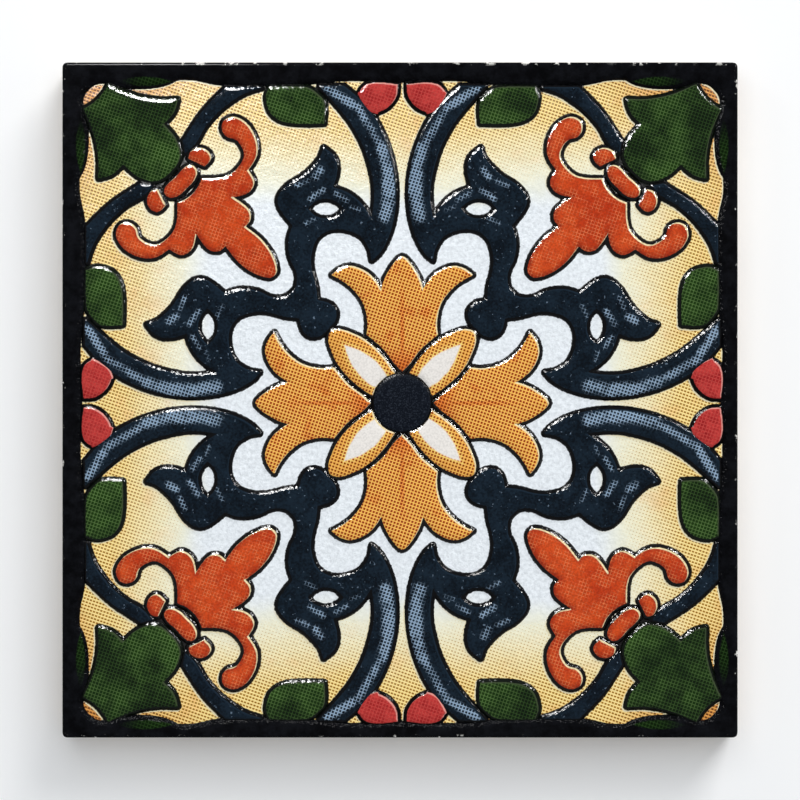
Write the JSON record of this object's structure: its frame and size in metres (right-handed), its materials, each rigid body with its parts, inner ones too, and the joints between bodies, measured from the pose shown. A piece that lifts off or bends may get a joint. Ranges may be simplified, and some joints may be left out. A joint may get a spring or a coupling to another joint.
{
  "type": "relief decor tile",
  "caption": "Square glazed ceramic wall tile with a fourfold floral arabesque in low relief inside a dark wavy border.",
  "frame": {"origin": "middle of the back's plane, below the middle of the tile", "axes": "+Z out of the decorated face, +X to the right and +Y up as the pattern is seen from the front"},
  "size_m": [0.1, 0.1, 0.008],
  "materials": {
    "glazed_tile": "gloss",
    "biscuit": "matte",
    "white_glaze": "gloss",
    "black_glaze": "gloss",
    "orange_glaze": "gloss",
    "navy_glaze": "gloss",
    "red_glaze": "gloss",
    "green_glaze": "gloss"
  },
  "bodies": {
    "root": {"tile": "glazed_tile"}
  },
  "joints": []
}
